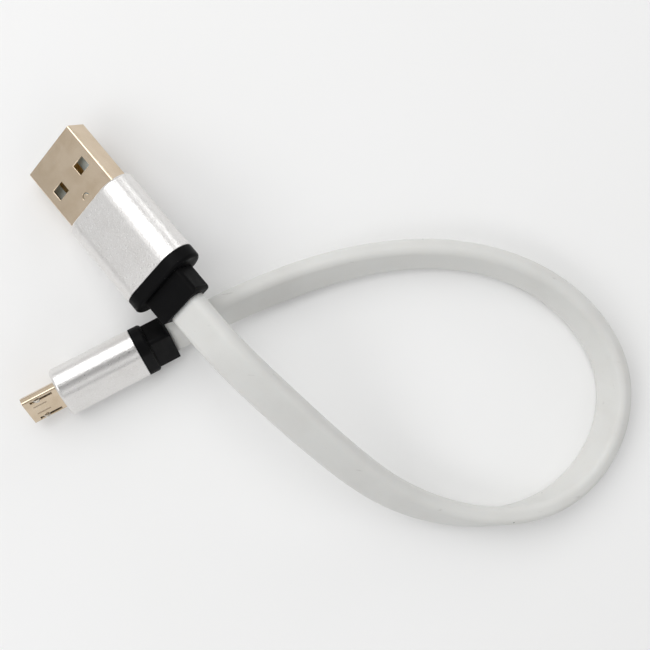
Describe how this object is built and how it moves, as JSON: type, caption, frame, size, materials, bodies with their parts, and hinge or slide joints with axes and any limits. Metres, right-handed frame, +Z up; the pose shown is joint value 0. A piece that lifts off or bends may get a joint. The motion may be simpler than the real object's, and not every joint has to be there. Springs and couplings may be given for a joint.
{
  "type": "charging cable",
  "caption": "Short flat white charging lead in an open loop, with a USB-A plug at one end and a micro-USB plug at the other, each in a satin aluminium sleeve with a black strain relief.",
  "frame": {"origin": "on the surface the cable lies on, at the middle of the two plugs' joint footprint", "axes": "+Z up from the surface, +Y from the micro-USB plug towards the USB-A plug, +X from the plugs towards the cable's loop"},
  "size_m": [0.1085, 0.0712, 0.0196],
  "materials": {
    "plug_shell_steel": "bright nickel plate",
    "insulator_pale": "moulded",
    "insulator_black": "moulded",
    "contact_gold": "gold plated",
    "solder": "satin",
    "wire_red": "soft satin",
    "wire_white": "soft satin",
    "wire_green": "soft satin",
    "wire_black": "soft satin",
    "inner_mould": "moulded",
    "sleeve_aluminium": "bead blasted satin",
    "black_plastic": "fine matt texture",
    "cable_jacket": "soft satin",
    "latch_steel": "spring steel"
  },
  "bodies": {
    "lead": {"usb_a_shell": "plug_shell_steel", "usb_a_insulator": "insulator_pale", "usb_a_contact_vbus": "contact_gold", "usb_a_contact_data_minus": "contact_gold", "usb_a_contact_data_plus": "contact_gold", "usb_a_contact_ground": "contact_gold", "usb_a_solder_joints": "solder", "usb_a_wire_red": "wire_red", "usb_a_wire_white": "wire_white", "usb_a_wire_green": "wire_green", "usb_a_wire_black": "wire_black", "usb_a_inner_mould": "inner_mould", "usb_a_sleeve": "sleeve_aluminium", "usb_a_end_cap": "black_plastic", "usb_a_strain_relief": "black_plastic", "usb_a_jacket_end": "cable_jacket", "flat_cable": "cable_jacket", "micro_shell": "plug_shell_steel", "micro_insulator": "insulator_black", "micro_contact_vbus": "contact_gold", "micro_contact_data_minus": "contact_gold", "micro_contact_data_plus": "contact_gold", "micro_contact_id": "contact_gold", "micro_contact_ground": "contact_gold", "micro_latch_base": "latch_steel", "micro_solder_joints": "solder", "micro_wire_red": "wire_red", "micro_wire_white": "wire_white", "micro_wire_green": "wire_green", "micro_wire_black": "wire_black", "micro_inner_mould": "inner_mould", "micro_sleeve": "sleeve_aluminium", "micro_end_cap": "black_plastic", "micro_strain_relief": "black_plastic", "micro_jacket_end": "cable_jacket"},
    "latch_left": {"micro_latch_arm_left": "latch_steel"},
    "latch_right": {"micro_latch_arm_right": "latch_steel"}
  },
  "joints": [
    {"name": "latch_left_flex", "type": "hinge", "parent": "lead", "child": "latch_left", "pos_m": [-0.00921, -0.0187, 0.00712], "axis": [0.2857, -0.5607, -0.7771], "range_deg": [0, 5], "stiffness_Nm_per_rad": 0.04},
    {"name": "latch_right_flex", "type": "hinge", "parent": "lead", "child": "latch_right", "pos_m": [-0.00772, -0.02162, 0.00308], "axis": [0.2857, -0.5607, -0.7771], "range_deg": [0, 5], "stiffness_Nm_per_rad": 0.04}
  ]
}
